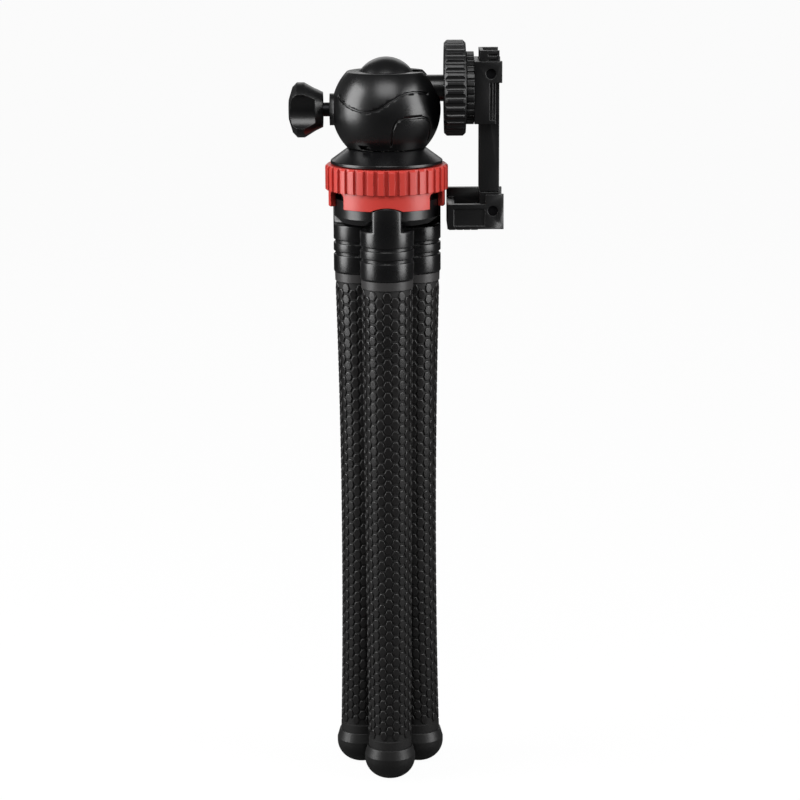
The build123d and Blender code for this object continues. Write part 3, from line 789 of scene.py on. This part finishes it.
def eased(places):
    """Places along a smooth curve through the given ones, so that a line keeps one depth in the ball."""
    result = []
    ends = [Vector(places[0]), *map(Vector, places), Vector(places[-1])]
    for before, start, end, after in zip(ends, ends[1:], ends[2:], ends[3:]):
        for step in range(LINE_STEPS):
            part = step / LINE_STEPS
            result.append(
                (2 * start + (end - before) * part + (2 * before - 5 * start + 4 * end - after) * part ** 2
                 + (3 * start - before - 3 * end + after) * part ** 3) / 2)
    return result + [Vector(places[-1])]


def on_ball(place, centre, radius):
    """Point of a ball at an angle round it and a height from its centre."""
    angle, height = math.radians(place[0]), place[1] * MM
    reach = math.sqrt(radius ** 2 - height ** 2)
    return centre + Vector((math.sin(angle) * reach, -math.cos(angle) * reach, height))


class TRIPOD_OT_head(bpy.types.Operator):
    """Cuts the moulded lines of the head and finishes it, its ball and its brake"""
    bl_idname = "tripod.head"
    bl_label = "Ball head"

    def execute(self, context):
        sizes = context.scene.tripod_head
        low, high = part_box("head_housing")
        radius = (high[1] - low[1]) / 2
        centre = Vector((0, 0, low[2] + HEAD_DROP * MM))
        marks = (
            ("wave", WAVE, sizes.groove_width, sizes.groove_sink),
            ("tab", TAB, sizes.groove_width, sizes.groove_sink),
            ("slot", SLOT, sizes.slot_height, sizes.slot_sink))
        lines = [
            tube_cutter(name, [on_ball(place, centre, radius - sink) for place in eased(places)], width / 2)
            for name, places, width, sink in marks]
        shell = new_piece("head_shell", copy_of("head_housing"), SLOTS["head_housing"], "head_housing")
        cut(shell, *lines)
        smooth(shell.data, SHARP_HEAD)
        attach(shell, "head")
        dress("ball_seat", "brake_pad", "ball_stem", "camera_stud")
        return {"FINISHED"}


class TRIPOD_OT_knob(bpy.types.Operator):
    """Finishes the lock knob"""
    bl_idname = "tripod.knob"
    bl_label = "Lock knob"

    def execute(self, context):
        dress("lock_knob", "knob_cap", "knob_screw")
        return {"FINISHED"}


class TRIPOD_OT_wheel(bpy.types.Operator):
    """Finishes the locking wheel"""
    bl_idname = "tripod.wheel"
    bl_label = "Locking wheel"

    def execute(self, context):
        dress("lock_wheel", "wheel_nut")
        return {"FINISHED"}


def rail_cutters(sizes):
    """Two upright channels in each cheek of the clamp's body."""
    low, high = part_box("clamp_body")
    rim = low[0] + sizes.cheek_reach - sizes.rail_width
    foot, top = low[2] + sizes.rail_foot, high[2] - sizes.collar_height
    depth = sizes.pocket_depth
    return [
        cutting_box((right - sizes.rail_width, side - depth, foot), (right, side + depth, top))
        for right in (rim, rim - sizes.rail_pitch) for side in (low[1], high[1])]


def slot_cutters(sizes):
    """Two slots across each side of the bar, where the upper jaw's hooks fold in."""
    low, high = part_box("clamp_bar")
    left, right = low[0] + sizes.slot_left, high[0] - sizes.slot_right
    upper = high[2] - sizes.slot_drop
    depth = sizes.pocket_depth
    return [
        cutting_box((left, side - depth, top - sizes.slot_height), (right, side + depth, top))
        for side in (low[1], high[1]) for top in (upper, upper - sizes.slot_pitch)]


# Rims under and over the lower jaw's panel, as shares of the one at its end
RIM_UNDER = 0.5
RIM_OVER = 0.7


def panel_cutter(sizes):
    """The sunk panel in the front of the lower jaw."""
    low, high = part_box("lower_jaw")
    rim, depth = sizes.panel_rim, sizes.pocket_depth
    return cutting_box(
        (low[0] + rim, low[1] - depth, low[2] + rim * RIM_UNDER),
        (high[0] - sizes.jaw_block, low[1] + depth, low[2] + sizes.jaw_lip - rim * RIM_OVER))


class TRIPOD_OT_clamp(bpy.types.Operator):
    """Rounds the edges of the phone clamp, cuts its pockets and finishes it"""
    bl_idname = "tripod.clamp"
    bl_label = "Phone clamp"

    def execute(self, context):
        sizes = context.scene.tripod_clamp
        softened("clamp_body", "clamp", sizes.edge_round, *rail_cutters(sizes))
        softened("clamp_bar", "clamp", sizes.edge_round, *slot_cutters(sizes))
        softened("lower_jaw", "lower_jaw", sizes.edge_round, panel_cutter(sizes))
        softened("upper_jaw", "upper_jaw", sizes.edge_round)
        dress("clamp_disc", "thread_insert", "bar_cover", "upper_jaw_pin")
        dress("upper_jaw_pad", "slide_tongue", "clamp_spring", "lower_jaw_pin", "lower_jaw_pad")
        return {"FINISHED"}


# The camera's place in mm, its turns in degrees, and its lens and sensor in mm
CAMERA_PLACE = (4.4, -905.0, 345.7)
CAMERA_PITCH = 12.7
CAMERA_ROLL = -0.3
CAMERA_LENS = 113.2
SENSOR = 36.0
# Half the floor's width, in metres
FLOOR_REACH = 8.0
# How much of the floor is plain white to the camera; the rest shows the shadow
FLOOR_GLOW = 0.96
# Strength of the light from all round
FILL = 0.1
# The middle of the tripod, where the lamps point: metres
LAMP_TARGET = (0, 0, 0.2)
# Soft boxes: name, place and size in metres, and power in watts
LAMPS = (
    ("left_softbox", (-0.52, -0.12, 0.36), (0.34, 0.6), 5.0),
    ("right_softbox", (0.52, -0.2, 0.36), (0.34, 0.6), 4.0),
    ("back_softbox", (0.0, 1.0, 0.75), (0.9, 0.6), 2.0),
    ("top_softbox", (0.0, -0.75, 1.05), (0.7, 0.5), 6.3),
)


def camera_turn():
    """Rotation of the camera that looks along +Y, a little down."""
    tilt = Matrix.Rotation(math.radians(90 - CAMERA_PITCH), 4, "X")
    return tilt @ Matrix.Rotation(math.radians(CAMERA_ROLL), 4, "Z")


def floor_paint(colours):
    """Painted floor: nearly white to the camera, and dark in the plastic above it, which stays black."""
    material, tree, shader = new_surface("studio_floor", colours.floor, Roughness=0.8)
    glow = add_node(tree, "ShaderNodeEmission", {"Color": (1, 1, 1, 1), "Strength": 1.0})
    seen = add_node(tree, "ShaderNodeLightPath").outputs["Is Camera Ray"]
    mix_colours(tree, shader, seen, colours.bounce, colours.floor)
    share = add_node(tree, "ShaderNodeMath", {0: seen, 1: FLOOR_GLOW}, operation="MULTIPLY")
    mix = add_node(
        tree, "ShaderNodeMixShader", {0: share.outputs[0], 1: shader.outputs[0], 2: glow.outputs[0]})
    tree.links.new(mix.outputs[0], tree.nodes["Material Output"].inputs["Surface"])
    return material


def add_lamp(name, place, size, power):
    """A soft box aimed at the tripod."""
    lamp = bpy.data.lights.new(name, "AREA")
    lamp.shape = "RECTANGLE"
    lamp.size, lamp.size_y = size
    lamp.energy = power
    holder = linked(name, lamp)
    holder.location = place
    holder.rotation_euler = (Vector(LAMP_TARGET) - Vector(place)).to_track_quat("-Z", "Y").to_euler()
    holder.visible_camera = False


def add_camera():
    """The camera, where the photo was taken from."""
    camera = bpy.data.cameras.new("camera")
    camera.lens, camera.sensor_width = CAMERA_LENS, SENSOR
    holder = linked("camera", camera)
    holder.matrix_world = Matrix.Translation(Vector(CAMERA_PLACE) * MM) @ camera_turn()
    bpy.context.scene.camera = holder


def add_floor():
    """The studio floor, one large square."""
    reach = FLOOR_REACH
    mesh = bpy.data.meshes.new("studio_floor")
    corners = [(-reach, -reach, 0), (reach, -reach, 0), (reach, reach, 0), (-reach, reach, 0)]
    mesh.from_pydata(corners, [], [(0, 1, 2, 3)])
    mesh.materials.append(floor_paint(bpy.context.scene.tripod_colours))
    linked("studio_floor", mesh)


def add_world():
    """White where the camera looks, and a soft even light from all round."""
    world = bpy.data.worlds.new("studio")
    world.use_nodes = True
    bpy.context.scene.world = world
    tree = world.node_tree
    path = add_node(tree, "ShaderNodeLightPath")
    clear = add_node(tree, "ShaderNodeMath", {
        0: path.outputs["Is Camera Ray"], 1: path.outputs["Is Transmission Ray"]}, operation="MAXIMUM")
    strength = add_node(
        tree, "ShaderNodeMapRange", {"Value": clear.outputs[0], "To Min": FILL, "To Max": 1.0})
    background = tree.nodes["Background"]
    background.inputs["Color"].default_value = (1, 1, 1, 1)
    tree.links.new(strength.outputs[0], background.inputs["Strength"])


class TRIPOD_OT_stage(bpy.types.Operator):
    """Makes the camera, the floor and the soft studio light"""
    bl_idname = "tripod.stage"
    bl_label = "Stage"

    def execute(self, context):
        context.scene.view_settings.view_transform = "Standard"
        add_camera()
        add_floor()
        for lamp in LAMPS:
            add_lamp(*lamp)
        add_world()
        return {"FINISHED"}


class TRIPOD_PT_panel(bpy.types.Panel):
    """Buttons that make the pieces of the tripod"""
    bl_idname = "TRIPOD_PT_panel"
    bl_label = "Tripod"
    bl_space_type = "VIEW_3D"
    bl_region_type = "UI"
    bl_category = "Tripod"

    def draw(self, context):
        for operator in OPERATORS:
            self.layout.operator(operator.bl_idname)


OPERATORS = (
    TRIPOD_OT_stage, TRIPOD_OT_legs, TRIPOD_OT_hub, TRIPOD_OT_head, TRIPOD_OT_knob, TRIPOD_OT_wheel,
    TRIPOD_OT_clamp,
)
GROUPS = {
    "tripod_sleeves": TripodSleeveSizes, "tripod_caps": TripodCapSizes, "tripod_head": TripodHeadSizes,
    "tripod_clamp": TripodClampSizes, "tripod_colours": TripodColours,
}


def register():
    """Registers the properties, the operators and the panel."""
    for name, group in GROUPS.items():
        bpy.utils.register_class(group)
        setattr(bpy.types.Scene, name, bpy.props.PointerProperty(type=group))
    for operator in OPERATORS:
        bpy.utils.register_class(operator)
    bpy.utils.register_class(TRIPOD_PT_panel)


def unregister():
    """Takes everything out again."""
    bpy.utils.unregister_class(TRIPOD_PT_panel)
    for operator in OPERATORS:
        bpy.utils.unregister_class(operator)
    for name, group in GROUPS.items():
        delattr(bpy.types.Scene, name)
        bpy.utils.unregister_class(group)


def main():
    """Makes every piece in order."""
    register()
    bpy.ops.tripod.stage()
    bpy.ops.tripod.legs()
    bpy.ops.tripod.hub()
    bpy.ops.tripod.head()
    bpy.ops.tripod.knob()
    bpy.ops.tripod.wheel()
    bpy.ops.tripod.clamp()


if __name__ == "__main__":
    main()
